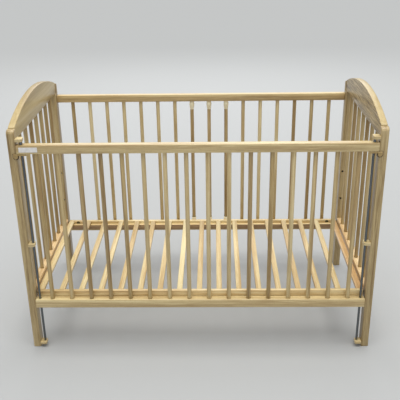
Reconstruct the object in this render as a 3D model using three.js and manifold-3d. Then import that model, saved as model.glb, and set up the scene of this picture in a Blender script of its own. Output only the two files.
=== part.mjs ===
// Baby crib for a 1200 x 600 mm mattress: two arched end panels, a bolted rear side with three
// removable bars, a front side that slides down on two steel rods, and a slatted base.
// Millimetres, +Z up, X along the length, front towards -Y, origin at the middle of the floor.

import * as THREE from 'three';
import { mergeVertices } from 'three/addons/utils/BufferGeometryUtils.js';
import Module from 'manifold-3d';

const wasm = await Module();
wasm.setup();

// overall
const cribLength = 1254;
const cribDepth = 661;
const gap = 0.3;

// corner posts
const postWide = 27;
const postDeep = 40;
const postTop = 854;
const postRound = 13;
const postSlope = 0.4;
const postHorn = 22;
const footChamfer = 3;

// arched boards
const boardThick = 23;
const boardInset = 2;
const boardBottom = 812;
const boardPeak = 912;
const boardShoulder = 855;
const boardSteps = 24;

// rails and round bars
const rearRailDeep = 23;
const dropRailDeep = 28;
const dropProud = 6;
const railHigh = 30;
const topRailZ = 786;
const bottomRailZ = 190;
const barRadius = 7.5;
const barSides = 12;
const holeSlack = 0.4;
const tenon = 10;
const barPitch = 71.6;
const barCount = 16;

// end panels
const endRailThick = 26;
const endRailHigh = 45;
const endRailTop = 241;
const endBarCount = 7;
const endBarPitch = 76.2;

// drop side and its rods
const dropLength = 1197;
const dropFootHigh = 33;
const rodRadius = 4.2;
const rodInset = 15;
const rodClearance = 0.6;
const bracketReach = 24;
const bracketDeep = 28;
const bracketCorner = 7;
const bracketHigh = 11;
const bracketLevels = { top: 818, middle: 430, foot: 19.5 };

// sliding catches under the ends of the top rail
const knobRadius = 10.5;
const knobFront = 8;
const knobBack = 0.6;
const knobTop = 770.6;
const knobFromPostEdge = 2;
const tongueHigh = 6;
const tongueReach = 32;
const tongueBack = 0.8;
const lugLong = 8;
const lugHigh = 8;
const catchTravel = 8;

// removable bars, numbered from the left among the sixteen
const removableBars = [7, 8, 9];
const sleeveRadius = 9.6;
const sleeveLength = 30;
const sleeveTail = 8;
const footCapRadius = 9.2;
const footCapLength = 35;
const liftRoom = 14;
const footTenon = 8;

// slatted base
const baseTop = 229;
const baseLength = 1191;
const baseRailDeep = 14;
const baseRailHigh = 33;
const baseFrontGap = 1;
const baseRearGap = 1;
const slatWide = 20;
const endSlatWide = 22;
const slatThick = 11;
const slatPitch = 72.5;
const slatCount = 17;
const ledgeDeep = 19;
const ledgeHigh = 21.7;

// base fixings
const baseLevels = [220.5, 335, 461];
const camRadius = 7.5;
const camDepth = 11.5;
const camFromEnd = 39.5;
const camWall = 1.8;
const crossRadius = 3.6;
const crossLength = 12;
const crossFromFace = 9;
const studRadius = 2.6;
const studHoleRadius = 3.2;

// rear side bolts
const boltRadius = 2.8;
const boltReach = 42;
const boltHeadRadius = 7;
const boltHeadHigh = 4;
const boltHeadSunk = 5;

// blank label
const labelWide = 62;
const labelHigh = 17;
const labelThick = 0.5;
const labelFromEnd = 9;

// worked out
const xOuter = cribLength / 2;
const xInner = xOuter - postWide;
const yFront = -(cribDepth - knobFront) / 2;
const yRear = yFront + cribDepth;
const yMiddle = (yFront + yRear) / 2;
const yDropFront = yFront - dropProud;
const yDropBack = yDropFront + dropRailDeep;
const yDrop = (yDropFront + yDropBack) / 2;
const yRearSide = yRear - rearRailDeep / 2;
const xEndBars = xInner + boardInset + boardThick / 2;
const yBaseFront = yDropBack + baseFrontGap;
const yBaseRear = yRear - rearRailDeep - baseRearGap;
const topRailBottom = topRailZ - railHigh / 2;
const bottomRailTop = bottomRailZ + railHigh / 2;
const dropFootBottom = bottomRailZ - railHigh / 2;
const dropFootTop = dropFootBottom + dropFootHigh;
const rearRailLength = 2 * xInner - 2 * gap;
const baseBottom = baseTop - baseRailHigh;
const rodX = dropLength / 2 - rodInset;
const middleBar = (barCount - 1) / 2;
const sides = { left: -1, right: 1 };

// finishes
const wood = () => new THREE.MeshStandardMaterial({ color: '#d3b88c', roughness: 0.5, metalness: 0 });
const chrome = () => new THREE.MeshStandardMaterial({ color: '#c9ccd0', roughness: 0.15, metalness: 1 });
const steel = () => new THREE.MeshStandardMaterial({ color: '#5d5a54', roughness: 0.45, metalness: 1 });
const creamPlastic = () => new THREE.MeshStandardMaterial({ color: '#e6d8b8', roughness: 0.45, metalness: 0 });
const beigePlastic = () => new THREE.MeshStandardMaterial({ color: '#bfa67c', roughness: 0.45, metalness: 0 });
const paper = () => new THREE.MeshStandardMaterial({ color: '#e4e2e4', roughness: 0.6, metalness: 0 });

// three.js geometry to a solid that can be joined and cut, and back again
function solid(geometry) {
  const bare = geometry.clone();
  bare.deleteAttribute('normal');
  bare.deleteAttribute('uv');
  const merged = mergeVertices(bare, 1e-4);
  const mesh = new wasm.Mesh({
    numProp: 3,
    vertProperties: new Float32Array(merged.attributes.position.array),
    triVerts: new Uint32Array(merged.index.array),
  });
  return new wasm.Manifold(mesh);
}

function geometryOf(body) {
  const mesh = body.getMesh();
  const geometry = new THREE.BufferGeometry();
  geometry.setAttribute('position', new THREE.BufferAttribute(mesh.vertProperties, 3));
  geometry.setIndex(new THREE.BufferAttribute(mesh.triVerts, 1));
  geometry.computeVertexNormals();
  return geometry;
}

// a box given by its lowest and highest corners
function block(x0, x1, y0, y1, z0, z1) {
  const geometry = new THREE.BoxGeometry(x1 - x0, y1 - y0, z1 - z0);
  geometry.translate((x0 + x1) / 2, (y0 + y1) / 2, (z0 + z1) / 2);
  return solid(geometry);
}

// round stock along X, Y or Z from one end to the other
function round(axis, radius, from, to, a, b, segments = barSides) {
  const geometry = new THREE.CylinderGeometry(radius, radius, to - from, segments);
  if (axis === 'z') geometry.rotateX(Math.PI / 2);
  if (axis === 'x') geometry.rotateZ(-Math.PI / 2);
  const middle = (from + to) / 2;
  if (axis === 'x') geometry.translate(middle, a, b);
  if (axis === 'y') geometry.translate(a, middle, b);
  if (axis === 'z') geometry.translate(a, b, middle);
  return solid(geometry);
}

// the same between two X places in either order, for left and right hand pieces
function roundX(radius, xA, xB, y, z, segments) {
  return round('x', radius, Math.min(xA, xB), Math.max(xA, xB), y, z, segments);
}

function roundY(radius, yA, yB, x, z, segments) {
  return round('y', radius, Math.min(yA, yB), Math.max(yA, yB), x, z, segments);
}

function blockX(xA, xB, y0, y1, z0, z1) {
  return block(Math.min(xA, xB), Math.max(xA, xB), y0, y1, z0, z1);
}

// a side view outline in Y and Z, made as thick as needed along X
function slab(outline, xA, xB) {
  const geometry = new THREE.ExtrudeGeometry(outline, {
    depth: Math.abs(xB - xA),
    bevelEnabled: false,
    curveSegments: boardSteps,
  });
  const turn = new THREE.Matrix4().set(
    0, 0, 1, Math.min(xA, xB),
    1, 0, 0, 0,
    0, 1, 0, 0,
    0, 0, 0, 1,
  );
  geometry.applyMatrix4(turn);
  return solid(geometry);
}

const crib = new THREE.Group();

function place(name, body, material, parent = crib) {
  const mesh = new THREE.Mesh(geometryOf(body), material());
  mesh.name = name;
  parent.add(mesh);
  return mesh;
}

const barX = (index) => (index - middleBar) * barPitch;
const endBarY = (index) => yMiddle + (index - (endBarCount - 1) / 2) * endBarPitch;

// the mid-plane of a long base rail, which is also the plane of its fixings
const baseRailMid = { front: yBaseFront + baseRailDeep / 2, rear: yBaseRear - baseRailDeep / 2 };

// corner post: rounded at the outer top, with a notch that takes the end of the board
function postOutline(outward) {
  const outer = outward < 0 ? yFront : yRear;
  const inner = outer - outward * postDeep;
  const horn = outer - outward * postHorn;
  const slope = Math.atan(postSlope);
  const turn = Math.PI / 2 - slope;
  const arcY = outer - outward * postRound;
  const slopeY = arcY + outward * postRound * Math.cos(turn);
  const slopeZ = postTop - Math.abs(horn - slopeY) * postSlope;
  const roundZ = slopeZ - postRound * Math.sin(turn);
  const outline = new THREE.Shape();
  outline.moveTo(inner + outward * footChamfer, 0);
  outline.lineTo(outer - outward * footChamfer, 0);
  outline.lineTo(outer, footChamfer);
  const arcSteps = 5;
  for (let step = 0; step <= arcSteps; step += 1) {
    const angle = (step / arcSteps) * turn;
    outline.lineTo(arcY + outward * postRound * Math.cos(angle), roundZ + postRound * Math.sin(angle));
  }
  outline.lineTo(horn, postTop);
  outline.lineTo(horn, boardBottom);
  outline.lineTo(inner, boardBottom);
  outline.lineTo(inner, footChamfer);
  outline.closePath();
  return outline;
}

function makePost(side, end) {
  const hand = sides[side];
  const outward = end === 'front' ? -1 : 1;
  const innerFace = end === 'front' ? yFront + postDeep : yRear - postDeep;
  const crossDeep = crossLength + gap;
  let post = slab(postOutline(outward), hand * xInner, hand * xOuter);
  for (const level of baseLevels) {
    const xCross = hand * (xInner + crossFromFace);
    const cross = roundY(crossRadius + holeSlack, innerFace - outward, innerFace + outward * crossDeep, xCross, level);
    const stud = roundX(studHoleRadius, hand * (xInner - 1), xCross, baseRailMid[end], level, 12);
    post = post.subtract(cross).subtract(stud);
  }
  if (end === 'rear') {
    for (const level of [topRailZ, bottomRailZ]) {
      const hole = roundX(studHoleRadius, hand * (xInner - 1), hand * (xOuter + 1), yRearSide, level, 12);
      const sunk = roundX(boltHeadRadius + holeSlack, hand * (xOuter - boltHeadSunk), hand * (xOuter + 1),
        yRearSide, level);
      post = post.subtract(hole).subtract(sunk);
    }
  }
  place(`post_${end}_${side}`, post, wood);
}

// arched board: a circular crown between its shoulders, with blind holes under it for the bars
function makeBoard(side) {
  const hand = sides[side];
  const yA = yFront + postHorn + gap;
  const yB = yRear - postHorn - gap;
  const half = (yB - yA) / 2;
  const rise = boardPeak - boardShoulder;
  const radius = (half * half + rise * rise) / (2 * rise);
  const outline = new THREE.Shape();
  outline.moveTo(yA, boardBottom + gap);
  outline.lineTo(yB, boardBottom + gap);
  const reach = Math.asin(half / radius);
  for (let step = 0; step <= boardSteps; step += 1) {
    const angle = reach - (2 * reach * step) / boardSteps;
    outline.lineTo((yA + yB) / 2 + radius * Math.sin(angle), boardPeak - radius + radius * Math.cos(angle));
  }
  outline.closePath();
  let board = slab(outline, hand * (xInner + boardInset), hand * (xInner + boardInset + boardThick));
  for (let index = 0; index < endBarCount; index += 1) {
    const hole = round('z', barRadius + holeSlack, boardBottom - 1, boardBottom + tenon + 1,
      hand * xEndBars, endBarY(index));
    board = board.subtract(hole);
  }
  place(`arch_board_${side}`, board, wood);
}

// end bottom rail with its seven bars
function makeEndRail(side) {
  const hand = sides[side];
  const xBars = hand * xEndBars;
  const xOut = xOuter - 1;
  let rail = blockX(hand * (xOut - endRailThick), hand * xOut,
    yFront + postDeep + gap, yRear - postDeep - gap, endRailTop - endRailHigh, endRailTop);
  for (let index = 0; index < endBarCount; index += 1) {
    rail = rail.add(round('z', barRadius, endRailTop - 5, boardBottom + tenon, xBars, endBarY(index)));
  }
  place(`end_bars_and_rail_${side}`, rail, wood);
}

// rear side: a top rail with blind holes, and a bottom rail that carries the thirteen fixed bars
function makeRearSide() {
  const half = rearRailLength / 2;
  const y0 = yRear - rearRailDeep;
  let top = block(-half, half, y0, yRear, topRailBottom, topRailBottom + railHigh);
  let bottom = block(-half, half, y0, yRear, bottomRailTop - railHigh, bottomRailTop);
  for (let index = 0; index < barCount; index += 1) {
    const x = barX(index);
    if (removableBars.includes(index)) {
      const socket = round('z', sleeveRadius + holeSlack - 1.2, topRailBottom - 1, topRailBottom + sleeveTail + gap,
        x, yRearSide);
      const bore = round('z', barRadius + holeSlack, topRailBottom - 1, topRailBottom + tenon + liftRoom,
        x, yRearSide);
      const seat = round('z', barRadius + holeSlack, bottomRailTop - footTenon - gap, bottomRailTop + 1,
        x, yRearSide);
      top = top.subtract(socket).subtract(bore);
      bottom = bottom.subtract(seat);
    } else {
      top = top.subtract(round('z', barRadius + holeSlack, topRailBottom - 1, topRailBottom + tenon + 1,
        x, yRearSide));
      bottom = bottom.add(round('z', barRadius, bottomRailTop - 5, topRailBottom + tenon, x, yRearSide));
    }
  }
  for (const hand of Object.values(sides)) {
    const hole = (z) => roundX(studHoleRadius, hand * (half + 1), hand * (half - boltReach), yRearSide, z, 12);
    top = top.subtract(hole(topRailZ));
    bottom = bottom.subtract(hole(bottomRailZ));
  }
  place('rear_top_rail', top, wood);
  place('rear_bars_and_bottom_rail', bottom, wood);
}

// removable bar with its foot cap, and the sleeve in which its spring-loaded top slides
function makeRemovableBar(index, number) {
  const x = barX(index);
  const bar = round('z', barRadius, bottomRailTop - footTenon, topRailBottom + tenon, x, yRearSide);
  const cap = round('z', footCapRadius, bottomRailTop + gap, bottomRailTop + gap + footCapLength, x, yRearSide);
  place(`removable_bar_${number}`, bar.add(cap), wood);

  const skirt = round('z', sleeveRadius, topRailBottom - sleeveLength, topRailBottom - gap, x, yRearSide);
  const tail = round('z', sleeveRadius - 1.2, topRailBottom - sleeveLength, topRailBottom + sleeveTail,
    x, yRearSide);
  const bore = round('z', barRadius + holeSlack, topRailBottom - sleeveLength - 1,
    topRailBottom + sleeveTail + 1, x, yRearSide);
  place(`bar_sleeve_${number}`, skirt.add(tail).subtract(bore), creamPlastic);
}

// bolts that hold the rear side between the posts
function makeRearBolt(side, level, z) {
  const hand = sides[side];
  const seat = xOuter - boltHeadSunk + gap;
  const head = roundX(boltHeadRadius, hand * seat, hand * (seat + boltHeadHigh), yRearSide, z);
  const shank = roundX(boltRadius, hand * (seat + 1), hand * (rearRailLength / 2 - boltReach + 2),
    yRearSide, z, 12);
  place(`rear_bolt_${level}_${side}`, head.add(shank), steel);
}

// drop side: two rails bored for the rods, and sixteen bars
function makeDropSide() {
  const half = dropLength / 2;
  const levels = { top: [topRailBottom, topRailBottom + railHigh], bottom: [dropFootBottom, dropFootTop] };
  for (const [name, [z0, z1]] of Object.entries(levels)) {
    let rail = block(-half, half, yDropFront, yDropBack, z0, z1);
    const holeFrom = name === 'top' ? topRailBottom - 1 : dropFootTop - tenon - 1;
    const holeTo = name === 'top' ? topRailBottom + tenon + 1 : dropFootTop + 1;
    for (let index = 0; index < barCount; index += 1) {
      rail = rail.subtract(round('z', barRadius + holeSlack, holeFrom, holeTo, barX(index), yDrop));
    }
    for (const hand of Object.values(sides)) {
      rail = rail.subtract(round('z', rodRadius + rodClearance, z0 - 1, z1 + 1, hand * rodX, yDrop));
      if (name === 'top') rail = rail.subtract(catchSlot(hand));
    }
    place(`drop_${name}_rail`, rail, wood);
  }
  for (let index = 0; index < barCount; index += 1) {
    const bar = round('z', barRadius, dropFootTop - tenon, topRailBottom + tenon, barX(index), yDrop);
    place(`drop_bar_${String(index + 1).padStart(2, '0')}`, bar, wood);
  }
  const labelX = -half + labelFromEnd;
  const label = block(labelX, labelX + labelWide, yDropFront - gap - labelThick, yDropFront - gap,
    topRailZ - labelHigh / 2, topRailZ + labelHigh / 2);
  place('blank_label', label, paper);
}

// slide rod and the three brackets that hold it to a front post
function makeRodAndBrackets(side) {
  const hand = sides[side];
  const rodBottom = bracketLevels.foot - bracketHigh / 2 + 4;
  const rodTop = bracketLevels.top + bracketHigh / 2 - 4;
  place(`slide_rod_${side}`, round('z', rodRadius, rodBottom, rodTop, hand * rodX, yDrop), chrome);
  for (const [name, z] of Object.entries(bracketLevels)) {
    const xFace = xInner - gap;
    const z0 = z - bracketHigh / 2;
    const z1 = z + bracketHigh / 2;
    const nose = bracketReach - bracketCorner;
    let bracket = blockX(hand * xFace, hand * (xInner - nose), yDropFront, yDropFront + bracketDeep, z0, z1);
    bracket = bracket.add(blockX(hand * (xInner - nose), hand * (xInner - bracketReach),
      yDropFront + bracketCorner, yDropFront + bracketDeep - bracketCorner, z0, z1));
    for (const y of [yDropFront + bracketCorner, yDropFront + bracketDeep - bracketCorner]) {
      bracket = bracket.add(round('z', bracketCorner, z0, z1, hand * (xInner - nose), y, 16));
    }
    const boreFrom = name === 'foot' ? rodBottom - gap : z0 - 1;
    const boreTo = name === 'top' ? rodTop + gap : z1 + 1;
    bracket = bracket.subtract(round('z', rodRadius + gap, boreFrom, boreTo, hand * rodX, yDrop));
    place(`rod_bracket_${name}_${side}`, bracket, wood);
  }
}

// slot under the top rail in which the lug of a catch slides
function catchSlot(hand) {
  const xLug = dropLength / 2 - tongueReach;
  return blockX(hand * (xLug - catchTravel - 1), hand * (xLug + lugLong + holeSlack),
    yFront - tongueBack - 4 - holeSlack, yFront - tongueBack + holeSlack,
    topRailBottom - 1, topRailBottom + lugHigh + 1);
}

// catch: a rounded knob before the post, with a tongue under the rail and a lug up into its slot
function makeCatch(side) {
  const hand = sides[side];
  const x = hand * (xInner + knobFromPostEdge);
  const y0 = yFront - knobFront;
  const y1 = yFront - knobBack;
  const knobMiddle = knobTop - knobRadius;
  const xLug = dropLength / 2 - tongueReach;
  let knob = block(x - knobRadius, x + knobRadius, y0, y1, knobMiddle, knobTop);
  knob = knob.add(roundY(knobRadius, y0, y1, x, knobMiddle, 24));
  knob = knob.add(blockX(x, hand * xLug, yFront - tongueBack - 5, yFront - tongueBack,
    knobTop - tongueHigh, knobTop));
  knob = knob.add(blockX(hand * xLug, hand * (xLug + lugLong), yFront - tongueBack - 4, yFront - tongueBack,
    knobTop - 1, topRailBottom + lugHigh));
  place(`side_catch_${side}`, knob, beigePlastic);
}

// base: long rails with ledges, and slats that lie on the ledges with their tops flush
function makeBase() {
  const half = baseLength / 2;
  const slatUnder = baseTop - slatThick;
  const ledgeTop = baseBottom + ledgeHigh;
  const overlap = 1;
  const camRecess = (hand, y, inward) => roundY(camRadius + holeSlack, y, y + inward * baseRailDeep,
    hand * (half - camFromEnd), baseLevels[0]);
  const studHole = (hand, y) => roundX(studHoleRadius, hand * (half + 1), hand * (half - camFromEnd),
    y, baseLevels[0], 12);

  let front = block(-half, half, yBaseFront, yBaseFront + baseRailDeep, baseBottom, baseTop);
  let rear = block(-half, half, yBaseRear - baseRailDeep, yBaseRear, baseBottom, baseTop);
  for (const hand of Object.values(sides)) {
    front = front.subtract(camRecess(hand, yBaseFront + camWall, 1));
    rear = rear.subtract(camRecess(hand, yBaseRear - camWall, -1));
    front = front.subtract(studHole(hand, baseRailMid.front));
    rear = rear.subtract(studHole(hand, baseRailMid.rear));
  }

  // each ledge overlaps its rail a little at the foot, clear of the cams, so the two are one body
  const ledgeFoot = baseBottom + 8;
  front = front.add(block(-half, half, yBaseFront + baseRailDeep - overlap,
    yBaseFront + baseRailDeep + ledgeDeep, baseBottom, ledgeFoot));
  front = front.add(block(-half, half, yBaseFront + baseRailDeep, yBaseFront + baseRailDeep + ledgeDeep,
    baseBottom, ledgeTop));
  rear = rear.add(block(-half, half, yBaseRear - baseRailDeep - ledgeDeep,
    yBaseRear - baseRailDeep + overlap, baseBottom, ledgeFoot));
  rear = rear.add(block(-half, half, yBaseRear - baseRailDeep - ledgeDeep, yBaseRear - baseRailDeep,
    baseBottom, slatUnder + 1));
  for (let index = 0; index < slatCount; index += 1) {
    const last = slatCount - 1;
    const wide = index % last === 0 ? endSlatWide : slatWide;
    const atEnd = (index / last - 0.5) * (baseLength - endSlatWide);
    const x = index % last === 0 ? atEnd : (index - last / 2) * slatPitch;
    rear = rear.add(block(x - wide / 2, x + wide / 2, yBaseFront + baseRailDeep + gap,
      yBaseRear - baseRailDeep + overlap, slatUnder, baseTop));
  }
  place('base_front_rail', front, wood);
  place('base_rear_rail_and_slats', rear, wood);
}

// cam in a base rail, and the connecting bolt with its cross nut in the post
function makeBaseFixing(side, end) {
  const hand = sides[side];
  const inward = end === 'front' ? 1 : -1;
  const half = baseLength / 2;
  const wall = end === 'front' ? yBaseFront + camWall : yBaseRear - camWall;
  const y = baseRailMid[end];
  const z = baseLevels[0];
  const xCam = hand * (half - camFromEnd);
  const xTip = hand * (half - camFromEnd + 3);
  const cam = roundY(camRadius, wall + inward * gap, wall + inward * camDepth, xCam, z);
  const mouth = roundX(studRadius + 1, hand * (half - camFromEnd + 1), hand * (half - camFromEnd + 12), y, z, 12);
  place(`base_cam_${end}_${side}`, cam.subtract(mouth), steel);

  const innerFace = end === 'front' ? yFront + postDeep : yRear - postDeep;
  const xCross = hand * (xInner + crossFromFace);
  const nut = roundY(crossRadius, innerFace, innerFace - inward * crossLength, xCross, z);
  const stud = roundX(studRadius, xTip, xCross, y, z, 12);
  place(`base_bolt_${end}_${side}`, nut.add(stud), steel);
}

for (const side of Object.keys(sides)) {
  for (const end of ['front', 'rear']) {
    makePost(side, end);
    makeBaseFixing(side, end);
  }
  makeBoard(side);
  makeEndRail(side);
  makeRodAndBrackets(side);
  makeCatch(side);
  makeRearBolt(side, 'top', topRailZ);
  makeRearBolt(side, 'bottom', bottomRailZ);
}
makeRearSide();
removableBars.forEach((index, order) => makeRemovableBar(index, order + 1));
makeDropSide();
makeBase();

export default crib;
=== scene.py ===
import math

import bpy
from mathutils import Matrix, Vector


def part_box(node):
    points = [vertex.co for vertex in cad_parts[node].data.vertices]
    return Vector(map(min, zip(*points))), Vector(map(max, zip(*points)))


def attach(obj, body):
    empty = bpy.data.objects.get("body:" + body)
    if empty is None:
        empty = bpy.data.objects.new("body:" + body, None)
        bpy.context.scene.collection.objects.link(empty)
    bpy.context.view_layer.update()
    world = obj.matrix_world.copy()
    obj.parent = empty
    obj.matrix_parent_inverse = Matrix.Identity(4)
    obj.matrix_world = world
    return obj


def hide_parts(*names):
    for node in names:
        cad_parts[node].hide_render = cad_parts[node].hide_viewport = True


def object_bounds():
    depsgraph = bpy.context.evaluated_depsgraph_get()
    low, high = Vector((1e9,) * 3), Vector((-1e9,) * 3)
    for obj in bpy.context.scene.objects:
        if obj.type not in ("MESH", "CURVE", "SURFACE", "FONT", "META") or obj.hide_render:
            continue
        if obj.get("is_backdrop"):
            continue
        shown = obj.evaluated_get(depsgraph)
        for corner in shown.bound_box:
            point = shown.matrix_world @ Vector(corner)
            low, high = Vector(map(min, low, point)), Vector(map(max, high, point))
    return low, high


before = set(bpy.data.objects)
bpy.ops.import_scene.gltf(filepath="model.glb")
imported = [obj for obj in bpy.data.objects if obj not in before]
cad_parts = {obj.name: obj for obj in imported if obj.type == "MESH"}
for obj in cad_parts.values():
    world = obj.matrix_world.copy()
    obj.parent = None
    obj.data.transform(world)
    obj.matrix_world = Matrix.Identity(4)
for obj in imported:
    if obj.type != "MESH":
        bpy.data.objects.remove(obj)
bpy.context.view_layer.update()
mm = 0.001
past = 5 * mm  # how far a cutter runs past the face that it opens
sideNames = {"left": -1, "right": 1}  # the way from the middle of the crib to each side
print("frame loaded")


def deselectAll():
    if bpy.context.object and bpy.context.object.mode != "OBJECT":
        bpy.ops.object.mode_set(mode="OBJECT")
    bpy.ops.object.select_all(action="DESELECT")


def pick(piece):
    deselectAll()
    piece.select_set(True)
    bpy.context.view_layer.objects.active = piece


def applyPlace(piece):
    pick(piece)
    bpy.ops.object.transform_apply(location=True, rotation=True, scale=True)


def addBlock(low, high):  # a block between two corners, its place in its mesh
    low, high = Vector(low), Vector(high)
    deselectAll()
    bpy.ops.mesh.primitive_cube_add(size=1, location=(low + high) / 2, scale=high - low)
    piece = bpy.context.object
    applyPlace(piece)
    return piece


def addRound(radius, start, end, sides=32):  # round stock between two points
    start, end = Vector(start), Vector(end)
    way = end - start
    deselectAll()
    bpy.ops.mesh.primitive_cylinder_add(
        vertices=sides, radius=radius, depth=way.length, location=(start + end) / 2,
        rotation=way.to_track_quat("Z", "Y").to_euler())
    piece = bpy.context.object
    applyPlace(piece)
    return piece


def selectEdges(piece, test):  # selects the edges whose two ends pass the test, and opens edit mode
    pick(piece)
    bpy.ops.object.mode_set(mode="EDIT")
    bpy.ops.mesh.select_mode(type="EDGE")
    bpy.ops.mesh.select_all(action="DESELECT")
    bpy.ops.object.mode_set(mode="OBJECT")
    mesh = piece.data
    for edge in mesh.edges:
        a, b = (mesh.vertices[i].co for i in edge.vertices)
        edge.select = test(a, b)
    bpy.ops.object.mode_set(mode="EDIT")


def bevelEdges(piece, test, width, segments):
    selectEdges(piece, test)
    bpy.ops.mesh.bevel(offset=width, segments=segments, affect="EDGES", clamp_overlap=True)
    bpy.ops.object.mode_set(mode="OBJECT")


def softenEdges(piece, width, segments=2, angle=35):  # rounds every edge sharper than the angle
    pick(piece)
    bevel = piece.modifiers.new("soften", "BEVEL")
    bevel.width = width
    bevel.segments = segments
    bevel.limit_method = "ANGLE"
    bevel.angle_limit = math.radians(angle)
    bevel.harden_normals = False
    bpy.ops.object.modifier_apply(modifier=bevel.name)


def joinAll(pieces):
    deselectAll()
    for piece in pieces:
        piece.select_set(True)
    bpy.context.view_layer.objects.active = pieces[0]
    if len(pieces) > 1:
        bpy.ops.object.join()
    return pieces[0]


def cutAway(piece, cutters):
    cutter = joinAll(cutters)
    pick(piece)
    cut = piece.modifiers.new("cut", "BOOLEAN")
    cut.operation = "DIFFERENCE"
    cut.solver = "EXACT"
    cut.object = cutter
    bpy.ops.object.modifier_apply(modifier=cut.name)
    bpy.data.objects.remove(cutter)


def finishPiece(piece, name, body, node, material, angle=40):
    pick(piece)
    piece.name = name
    piece.data.name = name
    piece.data.materials.clear()
    piece.data.materials.append(material)
    bpy.ops.object.shade_smooth_by_angle(angle=math.radians(angle))
    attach(piece, body)
    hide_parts(node)


def finishBeech(piece, name, node, material, body="crib_frame", angle=40):
    finishPiece(piece, name, body, node, material, angle)


def finishFaces(piece, material, test):  # a second finish, on the faces that pass the test
    piece.data.materials.append(material)
    for polygon in piece.data.polygons:
        polygon.material_index = int(test(polygon.center, polygon.normal))


def copyPiece(source, shift):  # a copy with its own mesh
    twin = source.copy()
    twin.data = source.data.copy()
    bpy.context.scene.collection.objects.link(twin)
    twin.data.transform(Matrix.Translation(Vector(shift)))
    return twin


def middleOf(node):
    low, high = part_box(node)
    return (low + high) / 2


def insideX(node, hand):  # x of the face that looks to the middle of the crib
    low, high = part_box(node)
    return low.x if hand > 0 else high.x


def outsideX(node, hand):
    low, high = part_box(node)
    return high.x if hand > 0 else low.x


def linearOf(hexColour):  # sRGB hex to linear
    values = [int(hexColour[i:i + 2], 16) / 255 for i in (1, 3, 5)]
    return [v / 12.92 if v <= 0.04045 else ((v + 0.055) / 1.055) ** 2.4 for v in values] + [1]


def addNode(tree, kind, settings=None, inputs=None, stops=()):
    # inputs are values or sockets to link, stops are a ramp's places and hex colours
    node = tree.nodes.new(kind)
    for key, value in (settings or {}).items():
        setattr(node, key, value)
    for key, value in (inputs or {}).items():
        if isinstance(value, bpy.types.NodeSocket):
            tree.links.new(value, node.inputs[key])
        else:
            node.inputs[key].default_value = value
    if stops:
        elements = node.color_ramp.elements
        elements.remove(elements[-1])
        elements[0].position = stops[0][0]
        elements[0].color = linearOf(stops[0][1])
        for position, colour in stops[1:]:
            elements.new(position).color = linearOf(colour)
    return node


def startMaterial(name):
    material = bpy.data.materials.new(name)
    material.use_nodes = True
    tree = material.node_tree
    shader = tree.nodes["Principled BSDF"]
    place = addNode(tree, "ShaderNodeTexCoord").outputs["Object"]
    return material, tree, shader, place


def grainScale(along, wide, long):  # a pattern's scale from its width and length in mm
    scale = [1 / (wide * mm)] * 3
    scale["xyz".index(along)] = 1 / (long * mm)
    return scale


# Sawn and planed beech under a clear satin lacquer: pale straw with fine darker flecks along the
# grain, a slow change of tone from one stick to the next, and a soft sheen on a nearly smooth face.
wood = {
    # each layer of the grain: width and length in mm, the noise's detail, roughness and distortion
    "streaks": (1.6, 70, 3, 0.6, 0),     # fine grain lines
    "bands": (14, 420, 2, 0.5, 0.6),     # growth bands
    "sticks": (55, 4000, 0, 0.5, 0),     # tone of a whole stick
    "flecks": (0.9, 7, 1, 0.5, 0),       # short dark flecks, twice as coarse as real, to show
    "darkAt": 0.41, "middleAt": 0.5, "paleAt": 0.59,
    "fleckFrom": 0.62, "fleckFull": 0.74, "fleckDepth": 0.35, "fleckColour": "#b08a5c",
    "knotCore": 0.35, "knotRim": 1.2, "knotDepth": 0.85, "knotColour": "#5b3c22",
    "poreStrength": 0.12, "poreDeep": 0.3 * mm,
    "roughLow": 0.36, "roughHigh": 0.5, "refraction": 1.5, "lacquer": 0.35, "lacquerRough": 0.22,
}


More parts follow.
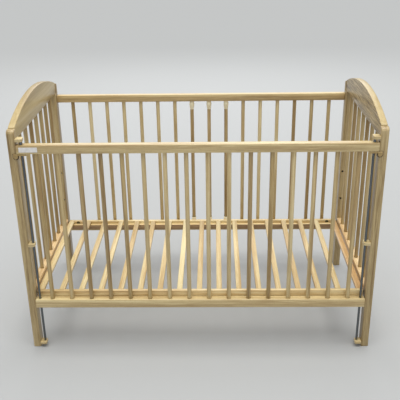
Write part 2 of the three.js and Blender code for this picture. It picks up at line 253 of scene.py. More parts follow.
def makeWood(name, along, dark, middle, pale, bandShare=0.35, stickShare=0.35, knots=(),
             shift=(0, 0, 0)):
    material, tree, shader, place = startMaterial(name)
    grain = {}
    for layer in ("streaks", "bands", "sticks", "flecks"):
        wide, long, detail, roughness, distortion = wood[layer]
        stretched = addNode(tree, "ShaderNodeMapping", inputs={
            "Vector": place, "Scale": grainScale(along, wide, long), "Location": shift})
        grain[layer] = addNode(tree, "ShaderNodeTexNoise", inputs={
            "Vector": stretched.outputs["Vector"], "Scale": 1, "Detail": detail,
            "Roughness": roughness, "Distortion": distortion}).outputs["Fac"]
    streakPart = addNode(tree, "ShaderNodeMath", {"operation": "MULTIPLY"}, {
        0: grain["streaks"], 1: 1 - bandShare - stickShare})
    bandPart = addNode(tree, "ShaderNodeMath", {"operation": "MULTIPLY_ADD"}, {
        0: grain["bands"], 1: bandShare, 2: streakPart.outputs[0]})
    tone = addNode(tree, "ShaderNodeMath", {"operation": "MULTIPLY_ADD"}, {
        0: grain["sticks"], 1: stickShare, 2: bandPart.outputs[0]})
    ramp = addNode(tree, "ShaderNodeValToRGB", inputs={"Fac": tone.outputs[0]}, stops=[
        (wood["darkAt"], dark), (wood["middleAt"], middle), (wood["paleAt"], pale)])
    fleckMask = addNode(tree, "ShaderNodeMapRange", inputs={
        "Value": grain["flecks"], "From Min": wood["fleckFrom"], "From Max": wood["fleckFull"],
        "To Min": 0, "To Max": wood["fleckDepth"]})
    colour = addNode(tree, "ShaderNodeMix", {"data_type": "RGBA", "blend_type": "MULTIPLY"}, {
        "Factor": fleckMask.outputs[0], "A": ramp.outputs["Color"],
        "B": linearOf(wood["fleckColour"])}).outputs["Result"]
    for spot, size, stretch in knots:  # a small dark knot, size in mm, longer along the grain
        scale = grainScale(along, size, size * stretch)
        near = addNode(tree, "ShaderNodeMapping", inputs={
            "Vector": place, "Scale": scale, "Location": [-spot[i] * scale[i] for i in range(3)]})
        distance = addNode(tree, "ShaderNodeVectorMath", {"operation": "LENGTH"}, {
            0: near.outputs["Vector"]})
        mask = addNode(tree, "ShaderNodeMapRange", {"interpolation_type": "SMOOTHSTEP"}, {
            "Value": distance.outputs["Value"], "From Min": wood["knotCore"],
            "From Max": wood["knotRim"], "To Min": wood["knotDepth"], "To Max": 0})
        colour = addNode(tree, "ShaderNodeMix", {"data_type": "RGBA"}, {
            "Factor": mask.outputs[0], "A": colour,
            "B": linearOf(wood["knotColour"])}).outputs["Result"]
    bump = addNode(tree, "ShaderNodeBump", inputs={
        "Height": grain["streaks"], "Strength": wood["poreStrength"], "Distance": wood["poreDeep"]})
    rough = addNode(tree, "ShaderNodeMapRange", inputs={
        "Value": grain["streaks"], "To Min": wood["roughLow"], "To Max": wood["roughHigh"]})
    tree.links.new(colour, shader.inputs["Base Color"])
    tree.links.new(bump.outputs["Normal"], shader.inputs["Normal"])
    tree.links.new(rough.outputs[0], shader.inputs["Roughness"])
    shader.inputs["IOR"].default_value = wood["refraction"]
    shader.inputs["Coat Weight"].default_value = wood["lacquer"]
    shader.inputs["Coat Roughness"].default_value = wood["lacquerRough"]
    return material


# Chromed steel rod: bright, mirror-like, with faint drawing marks along it. The marks are in mm,
# and coarser than real, to show.
chrome = {"colour": "#6c7073", "markWide": 0.8, "markLong": 30, "roughLow": 0.1, "roughHigh": 0.24}


def makeChrome():
    material, tree, shader, place = startMaterial("chromedSteel")
    drawn = addNode(tree, "ShaderNodeMapping", inputs={
        "Vector": place, "Scale": grainScale("z", chrome["markWide"], chrome["markLong"])})
    marks = addNode(tree, "ShaderNodeTexNoise", inputs={
        "Vector": drawn.outputs["Vector"], "Scale": 1, "Detail": 2})
    rough = addNode(tree, "ShaderNodeMapRange", inputs={
        "Value": marks.outputs["Fac"], "To Min": chrome["roughLow"], "To Max": chrome["roughHigh"]})
    tree.links.new(rough.outputs[0], shader.inputs["Roughness"])
    shader.inputs["Base Color"].default_value = linearOf(chrome["colour"])
    shader.inputs["Metallic"].default_value = 1
    return material


# Steel under dark zinc: dull grey brown, with a crystal mottle.
zinc = {
    "mottleWide": 2.5, "dark": "#46422f", "pale": "#767057",
    "roughLow": 0.35, "roughHigh": 0.6, "metallic": 0.6,  # the film hides part of the metal
}


def makeDarkSteel():
    material, tree, shader, place = startMaterial("darkZincSteel")
    mottle = addNode(tree, "ShaderNodeTexNoise", inputs={
        "Vector": place, "Scale": 1 / (zinc["mottleWide"] * mm), "Detail": 4})
    ramp = addNode(tree, "ShaderNodeValToRGB", inputs={"Fac": mottle.outputs["Fac"]}, stops=[
        (0.3, zinc["dark"]), (0.7, zinc["pale"])])
    rough = addNode(tree, "ShaderNodeMapRange", inputs={
        "Value": mottle.outputs["Fac"], "To Min": zinc["roughLow"], "To Max": zinc["roughHigh"]})
    tree.links.new(ramp.outputs["Color"], shader.inputs["Base Color"])
    tree.links.new(rough.outputs[0], shader.inputs["Roughness"])
    shader.inputs["Metallic"].default_value = zinc["metallic"]
    return material


# Injection-moulded ABS: even colour with a fine moulded grain, coarser than real, and a soft shine.
plastic = {
    "cloudWide": 16.667, "grainWide": 0.66667,  # mm
    "grainStrength": 0.1, "grainDeep": 0.1 * mm, "rough": 0.42, "refraction": 1.52,
}


def makePlastic(name, colour, shade):
    material, tree, shader, place = startMaterial(name)
    tone = addNode(tree, "ShaderNodeTexNoise", inputs={
        "Vector": place, "Scale": 1 / (plastic["cloudWide"] * mm), "Detail": 2})
    grain = addNode(tree, "ShaderNodeTexNoise", inputs={
        "Vector": place, "Scale": 1 / (plastic["grainWide"] * mm), "Detail": 1})
    ramp = addNode(tree, "ShaderNodeValToRGB", inputs={"Fac": tone.outputs["Fac"]}, stops=[
        (0.35, shade), (0.6, colour)])
    bump = addNode(tree, "ShaderNodeBump", inputs={
        "Height": grain.outputs["Fac"], "Strength": plastic["grainStrength"],
        "Distance": plastic["grainDeep"]})
    tree.links.new(ramp.outputs["Color"], shader.inputs["Base Color"])
    tree.links.new(bump.outputs["Normal"], shader.inputs["Normal"])
    shader.inputs["Roughness"].default_value = plastic["rough"]
    shader.inputs["IOR"].default_value = plastic["refraction"]
    return material


# Paper under clear film, left blank: white, a little glossy, faintly uneven.
paper = {"cloudWide": 11.111, "shade": "#dcd9d4", "white": "#efece7", "rough": 0.35}  # mm


def makePaper():
    material, tree, shader, place = startMaterial("filmedPaper")
    tone = addNode(tree, "ShaderNodeTexNoise", inputs={
        "Vector": place, "Scale": 1 / (paper["cloudWide"] * mm), "Detail": 3})
    ramp = addNode(tree, "ShaderNodeValToRGB", inputs={"Fac": tone.outputs["Fac"]}, stops=[
        (0.3, paper["shade"]), (0.7, paper["white"])])
    tree.links.new(ramp.outputs["Color"], shader.inputs["Base Color"])
    shader.inputs["Roughness"].default_value = paper["rough"]
    return material


# Each wood: the axis that its grain follows, then its dark, middle and pale tone. A shift moves
# the pattern, so that no two woods show the same grain.
beechFrontRail = makeWood("beechFrontRail", "x", "#b09667", "#cfba88", "#dfce9d")
beechRearRail = makeWood("beechRearRail", "x", "#a88d5d", "#cbb07c", "#dac490", shift=(3, 5, 7))
beechBaseRail = makeWood("beechBaseRail", "x", "#b4915c", "#d6bc86", "#e6d5a5", shift=(9, 2, 4))
beechPost = makeWood("beechPost", "z", "#846b3e", "#b39c6d", "#cdb98a", shift=(1, 4, 2))
beechBar = makeWood(
    "beechBar", "z", "#977b4c", "#b69e6b", "#cab586", bandShare=0.3, stickShare=0.3,
    knots=[((0.6135, 0.1564, 0.62), 6, 2), ((0.6135, 0.1564, 0.585), 5, 2)])
beechDarkBar = makeWood(
    "beechDarkBar", "z", "#82683e", "#a1875a", "#b69f71", bandShare=0.3, stickShare=0.3)
beechPaleBar = makeWood(
    "beechPaleBar", "z", "#a98e5e", "#cbb583", "#dccb9d", bandShare=0.3, stickShare=0.3)
beechLooseBar = makeWood(
    "beechLooseBar", "z", "#917441", "#b89e6d", "#cab284", shift=(6, 1, 3),
    knots=[((-0.0358, 0.3225, 0.27), 5, 5), ((-0.0330, 0.3225, 0.31), 3, 6)])
beechLeftBoard = makeWood(
    "beechLeftBoard", "y", "#a99261", "#b9a471", "#c6b281", shift=(2, 8, 1))
beechRightBoard = makeWood(
    "beechRightBoard", "y", "#5f4929", "#a58e60", "#cdb888", bandShare=0.3, stickShare=0,
    shift=(5, 3, 6))
beechEndRail = makeWood("beechEndRail", "y", "#b89560", "#dab986", "#eed4a4", shift=(7, 2, 8))
beechSlat = makeWood(
    "beechSlat", "y", "#b4955e", "#cbb37e", "#dccb98", bandShare=0.3, stickShare=0.4)
beechLeftEndSlat = makeWood(
    "beechLeftEndSlat", "y", "#b3935f", "#cdb37c", "#ddc895", shift=(4, 4, 9))
beechRightEndSlat = makeWood(
    "beechRightEndSlat", "y", "#a9824e", "#c59f69", "#d6b580", shift=(6, 4, 9))
beechBracket = makeWood("beechBracket", "x", "#ac9566", "#c6b07f", "#dbca9a", shift=(2, 2, 2))
paintedBoreShade = makeWood("paintedBoreShade", "z", "#2c2010", "#3a2b17", "#47361f")  # painted shade inside a bore, darker than the wood
paintedLedgeShade = makeWood(  # painted shade for faces in shadow, darker than the wood
    "paintedLedgeShade", "x", "#6b4f30", "#8f6f49", "#a98960", shift=(3, 1, 4))
barWoods = {"d": beechDarkBar, "m": beechBar, "p": beechPaleBar}
chromedSteel = makeChrome()
darkZincSteel = makeDarkSteel()
creamPlastic = makePlastic("creamPlastic", "#f6eccb", "#ecdfb9")
beigePlastic = makePlastic("beigePlastic", "#a98f5d", "#99804f")
# dark brown, painted shade for the rim round each catch knob
paintedShadePlastic = makePlastic("paintedShadePlastic", "#4c3c22", "#3b2e1a")
filmedPaper = makePaper()
print("materials made")


post = {
    "edge": 2.5 * mm, "edgeSteps": 3,
    "drop": 5 * mm, "crown": 12 * mm, "crownSteps": 8, "topZone": 20 * mm,  # the outer top corner
    "hornDeep": 22 * mm, "notchZ": 812 * mm,  # the notch that the arched board sits in
    "holeRadius": 4.4 * mm, "holeDeep": 12.3 * mm, "holeFromInside": 9 * mm,
    "holeLevels": (0.2205, 0.335, 0.461),  # m, three heights for the base
    "holeMouth": 0.4 * mm,  # the painted shade starts this far into a hole
}


def makePost(end, side):
    node = f"post_{end}_{side}"
    low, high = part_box(node)
    outward = -1 if end == "front" else 1
    hand = sideNames[side]
    outer = low.y if outward < 0 else high.y
    inner = high.y if outward < 0 else low.y
    top = high.z
    piece = addBlock(low, high)

    def atOuterTop(a, b, zone):
        return min(a.z, b.z) > top - zone and max(abs(a.y - outer), abs(b.y - outer)) < mm

    # the outer top edge sinks a little, then it and the horn take the round of the arch
    selectEdges(piece, lambda a, b: atOuterTop(a, b, mm))
    bpy.ops.transform.translate(value=(0, 0, -post["drop"]))
    bpy.ops.object.mode_set(mode="OBJECT")
    bevelEdges(piece, lambda a, b: atOuterTop(a, b, post["topZone"]), post["crown"],
               post["crownSteps"])
    y0, y1 = sorted((outer - outward * post["hornDeep"], inner - outward * past))
    cutAway(piece, [addBlock((low.x - past, y0, post["notchZ"]), (high.x + past, y1, top + past))])
    softenEdges(piece, post["edge"], post["edgeSteps"])

    holeX = insideX(node, hand) + hand * post["holeFromInside"]
    cutAway(piece, [addRound(post["holeRadius"], (holeX, inner - outward * mm, level),
                             (holeX, inner + outward * post["holeDeep"], level))
                    for level in post["holeLevels"]])
    finishBeech(piece, f"cornerPost_{end}_{side}", node, beechPost)

    def inHole(middle, normal):
        sunk = outward * (middle.y - inner)
        off = min(math.hypot(middle.x - holeX, middle.z - level) for level in post["holeLevels"])
        return (off < post["holeRadius"] + 0.1 * mm and sunk > post["holeMouth"]
                and abs(middle.y - outer) > mm)

    # the faces inside each hole take painted shade
    finishFaces(piece, paintedBoreShade, inHole)


for side in sideNames:
    for end in ("front", "rear"):
        makePost(end, side)
print("posts made")

board = {
    "arcSides": 640, "edge": 4 * mm, "edgeSteps": 3,
    "shoulder": 855 * mm,  # the height at which the arch starts
}


def makeBoard(side, material):  # a slice of a wide disc, cut off at its foot and both ends
    node = f"arch_board_{side}"
    low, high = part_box(node)
    middle = (low + high) / 2
    half = (high.y - low.y) / 2
    rise = high.z - board["shoulder"]
    radius = (half * half + rise * rise) / (2 * rise)
    centreZ = high.z - radius
    piece = addRound(radius, (low.x, middle.y, centreZ), (high.x, middle.y, centreZ),
                     board["arcSides"])
    for point, normal in (((0, 0, low.z), (0, 0, 1)), ((0, low.y, 0), (0, 1, 0)),
                          ((0, high.y, 0), (0, -1, 0))):
        pick(piece)
        bpy.ops.object.mode_set(mode="EDIT")
        bpy.ops.mesh.select_all(action="SELECT")
        bpy.ops.mesh.bisect(plane_co=point, plane_no=normal, use_fill=True, clear_inner=True)
        bpy.ops.object.mode_set(mode="OBJECT")
    softenEdges(piece, board["edge"], board["edgeSteps"])
    finishBeech(piece, f"archBoard_{side}", node, material, angle=30)
    finishFaces(piece, beechLeftBoard, lambda middle, normal: abs(normal.x) < 0.5)  # plain edges


makeBoard("left", beechLeftBoard)
makeBoard("right", beechRightBoard)
print("boards made")

bar = {
    "radius": 7.5 * mm, "chamfer": 1.2 * mm, "sides": 32, "sunk": 1.2 * mm,
    "mouthWide": 0.9 * mm, "mouthDeep": 1.5 * mm,  # the open rim of the hole that a bar goes into
}
rail = {"edge": 2.2 * mm, "edgeSteps": 3}
endPanel = {"bars": 7, "pitch": 76.2 * mm, "railTop": 241 * mm, "sunk": 2 * mm}


def makeBar(x, y, low, high):  # dowel with chamfered ends
    piece = addRound(bar["radius"], (x, y, low), (x, y, high), bar["sides"])
    bevelEdges(piece, lambda a, b: (abs(a.z - b.z) < mm
                                    and min(abs(a.z - low), abs(a.z - high)) < mm),
               bar["chamfer"], 2)
    return piece


def barMouth(x, y, z):
    return addRound(bar["radius"] + bar["mouthWide"], (x, y, z - bar["mouthDeep"]),
                    (x, y, z + bar["mouthDeep"]), bar["sides"])


for side in sideNames:
    node = f"end_bars_and_rail_{side}"
    low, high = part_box(node)
    middle = (low + high) / 2
    railTop = endPanel["railTop"]
    barX = middleOf(f"arch_board_{side}").x
    places = [middle.y + (k - (endPanel["bars"] - 1) / 2) * endPanel["pitch"]
              for k in range(endPanel["bars"])]
    endRail = addBlock(low, (high.x, high.y, railTop))
    softenEdges(endRail, rail["edge"], rail["edgeSteps"])
    cutAway(endRail, [barMouth(barX, y, railTop) for y in places])
    finishBeech(endRail, f"endRail_{side}", node, beechEndRail)
    first = makeBar(barX, 0, railTop - endPanel["sunk"], high.z)
    for k, y in enumerate(places):
        finishBeech(copyPiece(first, (0, y, 0)), f"endBar_{side}_{k + 1}", node, beechBar)
    bpy.data.objects.remove(first)
print("end panels made")

# The rear side and the drop side have the same row of bars. A letter is a bar's tone: d is dark,
# m is middle and p is pale. A dot is a removable bar.
row = {
    "bars": 16, "pitch": 71.6 * mm, "loose": (7, 8, 9),
    "rearTones": "mpppppp...pppmmm", "dropTones": "mmddmmpmppdmppmp",
}


def rowX(k):
    return (k - (row["bars"] - 1) / 2) * row["pitch"]


def makeRowRail(name, node, body, low, high, y, mouthZ, material, bores=()):
    piece = addBlock(low, high)
    softenEdges(piece, rail["edge"], rail["edgeSteps"])
    mouths = [barMouth(rowX(k), y, mouthZ) for k in range(row["bars"])]
    cutAway(piece, mouths + [addRound(radius, (x, y, low[2] - mm), (x, y, high[2] + mm))
                             for radius, x in bores])
    finishBeech(piece, name, node, material, body)


rearSide = {"railHigh": 30 * mm}
rearLow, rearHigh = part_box("rear_bars_and_bottom_rail")
topLow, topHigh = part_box("rear_top_rail")
rearY = (topLow.y + topHigh.y) / 2
bottomTop = rearLow.z + rearSide["railHigh"]
makeRowRail("rearTopRail", "rear_top_rail", "crib_frame", topLow, topHigh, rearY, topLow.z,
            beechRearRail)
makeRowRail("rearBottomRail", "rear_bars_and_bottom_rail", "crib_frame", rearLow,
            (rearHigh.x, rearHigh.y, bottomTop), rearY, bottomTop, beechRearRail)
first = makeBar(0, rearY, bottomTop - bar["sunk"], topLow.z + bar["sunk"])
for k in range(row["bars"]):
    if k not in row["loose"]:
        finishBeech(copyPiece(first, (rowX(k), 0, 0)), f"rearBar_{k + 1}",
                    "rear_bars_and_bottom_rail", barWoods[row["rearTones"][k]])
bpy.data.objects.remove(first)
print("rear side made")

looseBar = {
    "sides": 40,
    "capRadius": 9.2 * mm, "capHigh": 35 * mm, "capGap": 0.3 * mm, "capEdge": 0.8 * mm,
    "ringHigh": 2.2 * mm, "ringInset": 0.6 * mm, "ringGap": 0.1 * mm, "ringEdge": 0.5 * mm,
    "sleeveRadius": 9.2 * mm, "sleeveGap": 1.6 * mm, "sleeveEdge": 1 * mm, "boreSlack": 0.3 * mm,
    "collarRadius": 10.3 * mm, "collarFrom": 9 * mm, "collarTo": 22 * mm, "collarEdge": 1.4 * mm,
}


def makeTurned(radius, x, low, high, edge, steps=2):  # an upright moulded part round a rear bar
    piece = addRound(radius, (x, rearY, low), (x, rearY, high), looseBar["sides"])
    softenEdges(piece, edge, steps)
    return piece


for order, k in enumerate(row["loose"], start=1):
    x = rowX(k)
    body = f"loose_bar_{order}"
    barNode, sleeveNode = f"removable_bar_{order}", f"bar_sleeve_{order}"
    low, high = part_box(barNode)
    finishBeech(makeBar(x, rearY, low.z, high.z), f"looseBar_{order}", barNode, beechLooseBar, body)
    capLow = bottomTop + looseBar["capGap"]
    capTop = capLow + looseBar["capHigh"]
    ringLow = capTop - looseBar["ringHigh"]
    cap = makeTurned(looseBar["capRadius"], x, capLow, ringLow, looseBar["capEdge"])
    finishPiece(cap, f"footCap_{order}", body, barNode, creamPlastic)
    # a thin dark steel ring at the top of the cap: painted shade, standing in for the shadowed gap
    # there
    ring = makeTurned(looseBar["capRadius"] - looseBar["ringInset"], x,
                      ringLow + looseBar["ringGap"], capTop, looseBar["ringEdge"])
    finishPiece(ring, f"footShadeRing_{order}", body, barNode, darkZincSteel)
    low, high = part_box(sleeveNode)
    sleeveTop = topLow.z - looseBar["sleeveGap"]
    sleeve = makeTurned(looseBar["sleeveRadius"], x, low.z, sleeveTop, looseBar["sleeveEdge"])
    collar = makeTurned(looseBar["collarRadius"], x, low.z + looseBar["collarFrom"],
                        low.z + looseBar["collarTo"], looseBar["collarEdge"], 3)
    sleeve = joinAll([sleeve, collar])
    cutAway(sleeve, [addRound(bar["radius"] + looseBar["boreSlack"], (x, rearY, low.z - past),
                              (x, rearY, topLow.z + past))])
    finishPiece(sleeve, f"barSleeve_{order}", "crib_frame", sleeveNode,
                creamPlastic)
print("removable bars made")

dropSide = {"boreRadius": 5.2 * mm, "labelCorner": 1.5 * mm}
dropTopLow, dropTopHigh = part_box("drop_top_rail")
dropBottomLow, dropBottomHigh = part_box("drop_bottom_rail")
dropY = (dropTopLow.y + dropTopHigh.y) / 2
rodX = abs(middleOf("slide_rod_right").x)
rodBores = [(dropSide["boreRadius"], hand * rodX) for hand in sideNames.values()]
makeRowRail("dropTopRail", "drop_top_rail", "drop_side", dropTopLow, dropTopHigh, dropY,
            dropTopLow.z, beechFrontRail, rodBores)
makeRowRail("dropBottomRail", "drop_bottom_rail", "drop_side", dropBottomLow, dropBottomHigh, dropY,
            dropBottomHigh.z, beechFrontRail, rodBores)
first = makeBar(0, dropY, dropBottomHigh.z - bar["sunk"], dropTopLow.z + bar["sunk"])
for k in range(row["bars"]):
    finishBeech(copyPiece(first, (rowX(k), 0, 0)), f"dropBar_{k + 1}", f"drop_bar_{k + 1:02d}",
                barWoods[row["dropTones"][k]], "drop_side")
bpy.data.objects.remove(first)

label = addBlock(*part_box("blank_label"))
bevelEdges(label, lambda a, b: abs(a.y - b.y) > 0.2 * mm, dropSide["labelCorner"], 4)
finishPiece(label, "blankLabel", "drop_side", "blank_label", filmedPaper)
print("drop side made")

catch = {
    "wide": 21 * mm, "plateThick": 2.2 * mm, "plateEdge": 0.5 * mm,
    "postGap": 0.6 * mm, "railGap": 0.4 * mm,
    "knobWide": 15 * mm, "knobShort": 3 * mm, "knobEdge": 1.2 * mm, "brow": 3.2 * mm,
    "gripInset": 3.2 * mm, "gripDeep": 1 * mm,
    "tongueTo": 565 * mm, "tongueHigh": 6 * mm, "tongueBack": 5 * mm, "tongueEdge": 0.8 * mm,
}


def makeTab(middleX, wide, ys, zs):
    # flat above and round below, where the two rounds stop just short of each other
    piece = addBlock((middleX - wide / 2, ys[0], zs[0]), (middleX + wide / 2, ys[1], zs[1]))
    bevelEdges(piece, lambda a, b: max(a.z, b.z) < zs[0] + mm and abs(a.y - b.y) > mm,
               wide / 2 * 0.99, 10)
    return piece


def makeCatch(side, hand):
    node, body = f"side_catch_{side}", f"catch_{side}"
    low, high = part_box(node)
    frontY = low.y
    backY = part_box(f"post_front_{side}")[0].y - catch["postGap"]
    plateY = backY - catch["plateThick"]
    top = dropTopLow.z - catch["railGap"]
    middleX = outsideX(node, hand) - hand * catch["wide"] / 2
    # the dark plate shows as a rim round the knob: painted shade, standing in for the shadow round
    # it
    plate = makeTab(middleX, catch["wide"], (plateY, backY), (low.z, top))
    softenEdges(plate, catch["plateEdge"])
    finishPiece(plate, f"catchPlate_{side}", body, node, paintedShadePlastic)

    knob = makeTab(middleX, catch["knobWide"], (frontY, plateY), (low.z + catch["knobShort"], top))
    pick(knob)
    for polygon in knob.data.polygons:
        polygon.select = polygon.normal.y < -0.9
    bpy.ops.object.mode_set(mode="EDIT")
    bpy.ops.mesh.select_mode(type="FACE")
    bpy.ops.mesh.inset(thickness=catch["gripInset"], depth=-catch["gripDeep"])
    bpy.ops.object.mode_set(mode="OBJECT")
    bevelEdges(knob, lambda a, b: min(a.z, b.z) > top - mm and max(a.y, b.y) < frontY + mm,
               catch["brow"], 3)
    softenEdges(knob, catch["knobEdge"], 2, 50)
    x0, x1 = sorted((middleX, hand * catch["tongueTo"]))
    tongue = addBlock((x0, backY - catch["tongueBack"], top - catch["tongueHigh"]),
                      (x1, plateY, top))
    softenEdges(tongue, catch["tongueEdge"])
    finishPiece(joinAll([knob, tongue]), f"catchKnob_{side}", body, node,
                beigePlastic)


for side, hand in sideNames.items():
    makeCatch(side, hand)
print("catches made")

rod = {"sides": 40, "edge": 0.8 * mm}
bracket = {"corner": 7 * mm, "cornerSteps": 8, "edge": 1.6 * mm, "boreRadius": 4.5 * mm}


def makeBracket(level, side, hand, rodLow, rodHigh):
    node = f"rod_bracket_{level}_{side}"
    low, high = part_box(node)
    noseX = insideX(node, hand)
    piece = addBlock(low, high)
    bevelEdges(piece, lambda a, b: max(abs(a.x - noseX), abs(b.x - noseX)) < mm
               and abs(a.z - b.z) > 5 * mm, bracket["corner"], bracket["cornerSteps"])
    softenEdges(piece, bracket["edge"], 3)
    # the rod ends inside the top and foot brackets and goes through the middle one
    boreLow = rodLow.z if level == "foot" else low.z - mm
    boreHigh = rodHigh.z if level == "top" else high.z + mm
    middle = (rodLow + rodHigh) / 2
    cutAway(piece, [addRound(bracket["boreRadius"], (middle.x, middle.y, boreLow),
                             (middle.x, middle.y, boreHigh))])
    finishBeech(piece, f"rodBracket_{level}_{side}", node, beechBracket)


for side, hand in sideNames.items():
    low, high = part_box(f"slide_rod_{side}")
    middle = (low + high) / 2
    piece = addRound((high.x - low.x) / 2, (middle.x, middle.y, low.z),
                     (middle.x, middle.y, high.z), rod["sides"])
    softenEdges(piece, rod["edge"])
    finishPiece(piece, f"slideRod_{side}", "crib_frame", f"slide_rod_{side}",
                chromedSteel)
    for level in ("top", "middle", "foot"):
        makeBracket(level, side, hand, low, high)
print("rods and brackets made")

base = {
    "slats": 17, "pitch": 72.5 * mm, "wide": 20 * mm, "endWide": 22 * mm, "thick": 11 * mm,
    "edge": 1.6 * mm, "slatGap": 0.4 * mm, "railDeep": 14 * mm,
    "ledgeHigh": 21.7 * mm, "ledgeDeep": 19 * mm,
    "camHoleRadius": 7.9 * mm, "camWall": 1.8 * mm,  # the wood left in front of a cam
}
frontLow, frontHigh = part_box("base_front_rail")
backLow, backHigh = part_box("base_rear_rail_and_slats")
frontInner = frontLow.y + base["railDeep"]
backInner = backHigh.y - base["railDeep"]
camX = abs(middleOf("base_cam_front_right").x)
camZ = middleOf("base_cam_front_left").z


def makeBaseRail(end, node, outer, inner, inward):
    y0, y1 = sorted((outer, inner))
    railPiece = addBlock((frontLow.x, y0, frontLow.z), (frontHigh.x, y1, frontHigh.z))
    softenEdges(railPiece, base["edge"])
    y0, y1 = sorted((inner, inner + inward * base["ledgeDeep"]))
    ledge = addBlock((frontLow.x, y0, frontLow.z),
                     (frontHigh.x, y1, frontLow.z + base["ledgeHigh"]))
    softenEdges(ledge, base["edge"])
    cutAway(railPiece, [addRound(base["camHoleRadius"],
                                 (hand * camX, outer + inward * base["camWall"], camZ),
                                 (hand * camX, inner + inward * past, camZ))
                        for hand in sideNames.values()])
    finishBeech(railPiece, f"base{end}Rail", node, beechBaseRail)
    finishBeech(ledge, f"base{end}Ledge", node, beechBaseRail)
    finishFaces(ledge, paintedLedgeShade, lambda middle, normal: abs(normal.y) > 0.7)  # painted shade on the upright faces


makeBaseRail("Front", "base_front_rail", frontLow.y, frontInner, 1)
makeBaseRail("Rear", "base_rear_rail_and_slats", backHigh.y, backInner, -1)

for k in range(base["slats"]):
    x = (k - (base["slats"] - 1) / 2) * base["pitch"]
    wide, slatWood = base["wide"], beechSlat
    if k in (0, base["slats"] - 1):  # the wider end members lie flush with the rails' ends
        wide, slatWood = base["endWide"], beechLeftEndSlat if x < 0 else beechRightEndSlat
        x = math.copysign(frontHigh.x - wide / 2, x)
    slat = addBlock((x - wide / 2, frontInner + base["slatGap"], frontHigh.z - base["thick"]),
                    (x + wide / 2, backInner - base["slatGap"], frontHigh.z))
    softenEdges(slat, base["edge"])
    finishBeech(slat, f"slat_{k + 1}", "base_rear_rail_and_slats", slatWood)
print("base made")

fixing = {
    "sides": 40, "edge": 0.6 * mm,
    "slotWide": 1.6 * mm, "slotLong": 9 * mm, "slotDeep": 1.2 * mm,  # in a cam
    "nutRadius": 3.6 * mm, "nutSlotLong": 5.6 * mm, "nutSlotWide": 1.2 * mm,
    "studRadius": 2.6 * mm, "studSides": 24,
    "headRadius": 7 * mm, "headHigh": 4 * mm, "headEdge": 0.8 * mm,
    "hexRadius": 2.6 * mm, "hexDeep": 2.4 * mm,
}


def makeCam(end, side, inward):  # cross-slotted barrel in a base rail
    node = f"base_cam_{end}_{side}"
    low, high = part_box(node)
    middle = (low + high) / 2
    cam = addRound((high.x - low.x) / 2, (middle.x, low.y, middle.z), (middle.x, high.y, middle.z),
                   fixing["sides"])
    softenEdges(cam, fixing["edge"])
    faceY = high.y if inward > 0 else low.y
    sizes = (fixing["slotLong"], fixing["slotWide"])
    for long, tall in (sizes, sizes[::-1]):
        cutAway(cam, [addBlock(
            (middle.x - long / 2, faceY - fixing["slotDeep"], middle.z - tall / 2),
            (middle.x + long / 2, faceY + fixing["slotDeep"], middle.z + tall / 2))])
    finishPiece(cam, f"baseCam_{end}_{side}", "crib_frame", node, darkZincSteel)


def makeBaseBolt(end, side, hand, inward):  # slotted cross nut in the post, and the stud into it
    node = f"base_bolt_{end}_{side}"
    low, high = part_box(node)
    nutX = insideX(f"post_{end}_{side}", hand) + hand * post["holeFromInside"]
    nut = addRound(fixing["nutRadius"], (nutX, low.y, camZ), (nutX, high.y, camZ))
    softenEdges(nut, fixing["edge"])
    faceY = high.y if inward > 0 else low.y
    long, tall = fixing["nutSlotLong"] / 2, fixing["nutSlotWide"] / 2
    cutAway(nut, [addBlock((nutX - long, faceY - mm, camZ - tall),
                           (nutX + long, faceY + mm, camZ + tall))])
    finishPiece(nut, f"crossNut_{end}_{side}", "crib_frame", node, darkZincSteel)
    studY = (frontLow.y + frontInner) / 2 if end == "front" else (backHigh.y + backInner) / 2
    stud = addRound(fixing["studRadius"], (insideX(node, hand), studY, camZ), (nutX, studY, camZ),
                    fixing["studSides"])
    softenEdges(stud, fixing["edge"])
    finishPiece(stud, f"baseStud_{end}_{side}", "crib_frame", node, darkZincSteel)


def makeRearBolt(level, side, hand):  # the head only, with its hexagon socket
    node = f"rear_bolt_{level}_{side}"
    middle = middleOf(node)
    headOut = outsideX(node, hand)
    bolt = addRound(fixing["headRadius"], (headOut - hand * fixing["headHigh"], middle.y, middle.z),
                    (headOut, middle.y, middle.z), fixing["sides"])
    softenEdges(bolt, fixing["headEdge"])
    cutAway(bolt, [addRound(fixing["hexRadius"],
                            (headOut - hand * fixing["hexDeep"], middle.y, middle.z),
                            (headOut + hand * mm, middle.y, middle.z), 6)])
    finishPiece(bolt, f"rearBolt_{level}_{side}", "crib_frame", node, darkZincSteel)


for side, hand in sideNames.items():
    for end, inward in (("front", 1), ("rear", -1)):
        makeCam(end, side, inward)
        makeBaseBolt(end, side, hand, inward)
    for level in ("top", "bottom"):
        makeRearBolt(level, side, hand)
print("fixings made")

studio = {
    "floorSize": 30, "floorY": 6, "floorColour": "#a9abac", "floorRough": 0.9,  # m
    "airColour": "#eceff5", "airPower": 0.42,
    "ceilingColour": "#fffdf8", "ceilingPower": 3.2, "ceilingSpread": 55,  # degrees
    "ceilingWay": (-0.03, 0.08, -1), "aim": (0, 0, 0.4),
}
lamps = {
    "rearPanel": {"at": (0, 3.6, 2.9), "size": 3.4, "power": 55, "colour": "#ffffff"},
    "room": {"at": (0.8, -7.5, 3.2), "size": 5, "power": 78, "colour": "#fbfbff"},
}


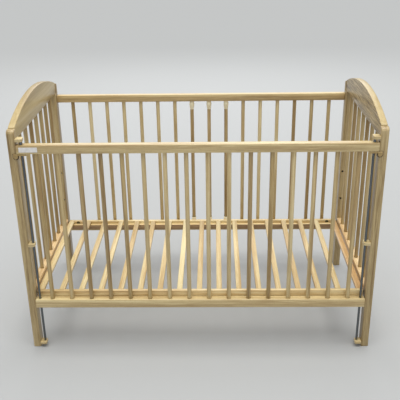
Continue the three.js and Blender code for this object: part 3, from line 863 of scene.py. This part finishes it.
def aimLight(data, at, way):
    light = bpy.data.objects.new(data.name, data)
    bpy.context.scene.collection.objects.link(light)
    light.location = at
    light.rotation_euler = Vector(way).to_track_quat("-Z", "Y").to_euler()


deselectAll()
bpy.ops.mesh.primitive_plane_add(size=studio["floorSize"], location=(0, studio["floorY"], 0))
floor = bpy.context.object
applyPlace(floor)
floor.name = "floor"
paleFloor, _, floorShader, _ = startMaterial("paleFloor")  # matt vinyl
floorShader.inputs["Base Color"].default_value = linearOf(studio["floorColour"])
floorShader.inputs["Roughness"].default_value = studio["floorRough"]
floor.data.materials.append(paleFloor)
floor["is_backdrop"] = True

world = bpy.data.worlds.new("room")
bpy.context.scene.world = world
world.use_nodes = True
air = world.node_tree.nodes["Background"]
air.inputs["Color"].default_value = linearOf(studio["airColour"])
air.inputs["Strength"].default_value = studio["airPower"]

ceiling = bpy.data.lights.new("ceiling", "SUN")  # a wide bright ceiling
ceiling.angle = math.radians(studio["ceilingSpread"])
ceiling.energy = studio["ceilingPower"]
ceiling.color = linearOf(studio["ceilingColour"])[:3]
aimLight(ceiling, (0, 0, 0), studio["ceilingWay"])
for name, lamp in lamps.items():
    panel = bpy.data.lights.new(name, "AREA")
    panel.size = lamp["size"]
    panel.energy = lamp["power"]
    panel.color = linearOf(lamp["colour"])[:3]
    aimLight(panel, lamp["at"], Vector(studio["aim"]) - Vector(lamp["at"]))

view = {"at": (0.0607, -2.4245, 1.5114), "turn": 1.434, "tilt": 23.48, "roll": -0.907, "lens": 60.5}
cameraData = bpy.data.cameras.new("camera")
cameraData.lens = view["lens"]
cameraData.clip_end = 100
camera = bpy.data.objects.new("camera", cameraData)
bpy.context.scene.collection.objects.link(camera)
camera.matrix_world = (Matrix.Translation(view["at"])
                       @ Matrix.Rotation(math.radians(view["turn"]), 4, "Z")
                       @ Matrix.Rotation(math.radians(90 - view["tilt"]), 4, "X")
                       @ Matrix.Rotation(math.radians(view["roll"]), 4, "Z"))
bpy.context.scene.camera = camera
bpy.context.scene.view_settings.view_transform = "Standard"
print("floor, light and camera made")

low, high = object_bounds()
